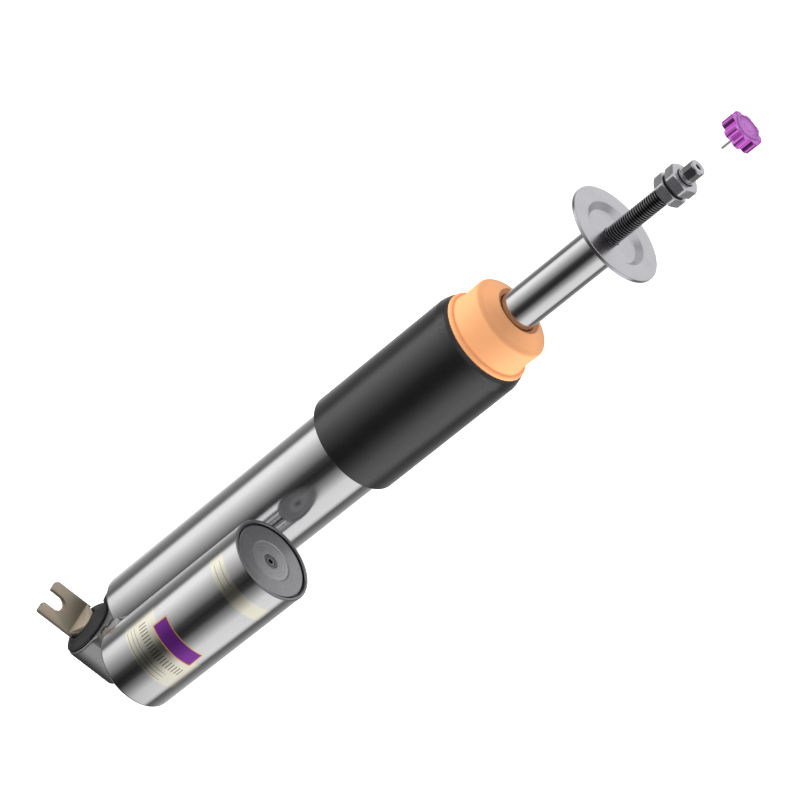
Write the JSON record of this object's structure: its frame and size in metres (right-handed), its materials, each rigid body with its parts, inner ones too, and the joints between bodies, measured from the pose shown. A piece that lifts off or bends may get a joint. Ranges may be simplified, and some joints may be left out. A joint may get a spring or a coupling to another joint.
{
  "type": "damper with piggyback reservoir",
  "caption": "Monotube suspension damper with a side reservoir, foam bump stop, dust tube, threaded rod end with washer and nuts, forked bar pin lower eye and a rebound adjuster knob.",
  "frame": {"origin": "centre of the lower eye", "axes": "+Z along the damper towards the rod end, +X from the damper tube to the reservoir, +Y along the axis of the lower eye"},
  "size_m": [0.1097, 0.088, 0.5165],
  "materials": {
    "polished_steel": "polished steel tube and rod",
    "cast_alloy": "satin casting",
    "black_tube": "satin charcoal plastic",
    "stop_foam": "matt orange microcellular foam",
    "bush_rubber": "matt black rubber",
    "zinc_plate": "bright zinc plate",
    "yellow_zinc": "olive to yellow zinc plate",
    "dark_steel": "blackened steel",
    "purple_anodised": "purple anodised aluminium",
    "turned_aluminium": "turned grey aluminium",
    "bronze": "bearing bronze",
    "seal_rubber": "black seal rubber",
    "spring_steel": "spring steel"
  },
  "bodies": {
    "damper": {"valve_block": "cast_alloy", "lower_bush": "bush_rubber", "bush_sleeve": "zinc_plate", "damper_tube": "polished_steel", "rod_guide": "turned_aluminium", "guide_bush": "bronze", "guide_o_ring": "seal_rubber", "rod_seal": "seal_rubber", "rod_wiper": "seal_rubber", "guide_circlip": "spring_steel", "dust_tube": "black_tube", "dust_tube_seat": "seal_rubber", "bump_stop": "stop_foam", "reservoir_tube": "polished_steel", "reservoir_cap": "turned_aluminium", "cap_o_ring": "seal_rubber", "cap_circlip": "dark_steel", "gas_valve": "spring_steel", "compression_valve": "turned_aluminium", "compression_shims": "spring_steel", "return_shims": "spring_steel", "compression_valve_bolt": "zinc_plate"},
    "bar_pin": {"bar_pin": "yellow_zinc"},
    "high_speed_screw": {"high_speed_adjuster": "zinc_plate"},
    "low_speed_screw": {"low_speed_adjuster": "zinc_plate"},
    "floater": {"floating_piston": "turned_aluminium", "floating_piston_band": "bronze", "floating_piston_o_ring": "seal_rubber"},
    "slider": {"piston_band": "bronze"},
    "rod": {"piston_rod": "polished_steel", "support_washer": "zinc_plate", "lower_nut": "zinc_plate", "lock_washer": "dark_steel", "upper_nut": "zinc_plate", "piston": "turned_aluminium", "rebound_shims": "spring_steel", "bump_shims": "spring_steel", "piston_nut": "zinc_plate", "rebound_spacer": "zinc_plate", "top_out_stop": "bush_rubber"},
    "needle": {"rebound_needle": "zinc_plate"},
    "knob": {"adjuster_knob": "purple_anodised", "knob_key": "polished_steel"}
  },
  "joints": [
    {"name": "rod_slide", "type": "slide", "parent": "damper", "child": "slider", "axis": [0, 0, 1], "range_m": [-0.088, 0], "stiffness_N_per_m": 200, "springref_m": 0.5, "deforming": ["bump_stop"]},
    {"name": "rod_turn", "type": "hinge", "parent": "slider", "child": "rod", "pos_m": [0, 0, 0.3], "axis": [0, 0, 1], "continuous": true},
    {"name": "floater_slide", "type": "slide", "parent": "damper", "child": "floater", "axis": [0, 0, 1], "range_m": [0, 0.021]},
    {"name": "rebound_turn", "type": "hinge", "parent": "rod", "child": "needle", "pos_m": [0, 0, 0.3], "axis": [0, 0, 1], "range_deg": [-180, 180]},
    {"name": "knob_lift", "type": "slide", "parent": "needle", "child": "knob", "axis": [0, 0, 1], "range_m": [-0.0254, 0]},
    {"name": "bar_pin_turn", "type": "hinge", "parent": "damper", "child": "bar_pin", "pos_m": [0, 0, 0], "axis": [0, 1, 0], "range_deg": [-20, 20], "stiffness_Nm_per_rad": 20},
    {"name": "high_speed_turn", "type": "hinge", "parent": "damper", "child": "high_speed_screw", "pos_m": [0.0149, -0.0135, 0.0254], "axis": [0, -1, 0], "range_deg": [-135, 135]},
    {"name": "low_speed_turn", "type": "hinge", "parent": "damper", "child": "low_speed_screw", "pos_m": [0.0169, -0.0135, 0.0191], "axis": [0, -1, 0], "range_deg": [-75, 75]}
  ],
  "couplings": [
    {"joint": "floater_slide", "follows": "rod_slide", "ratio": -0.2297}
  ]
}
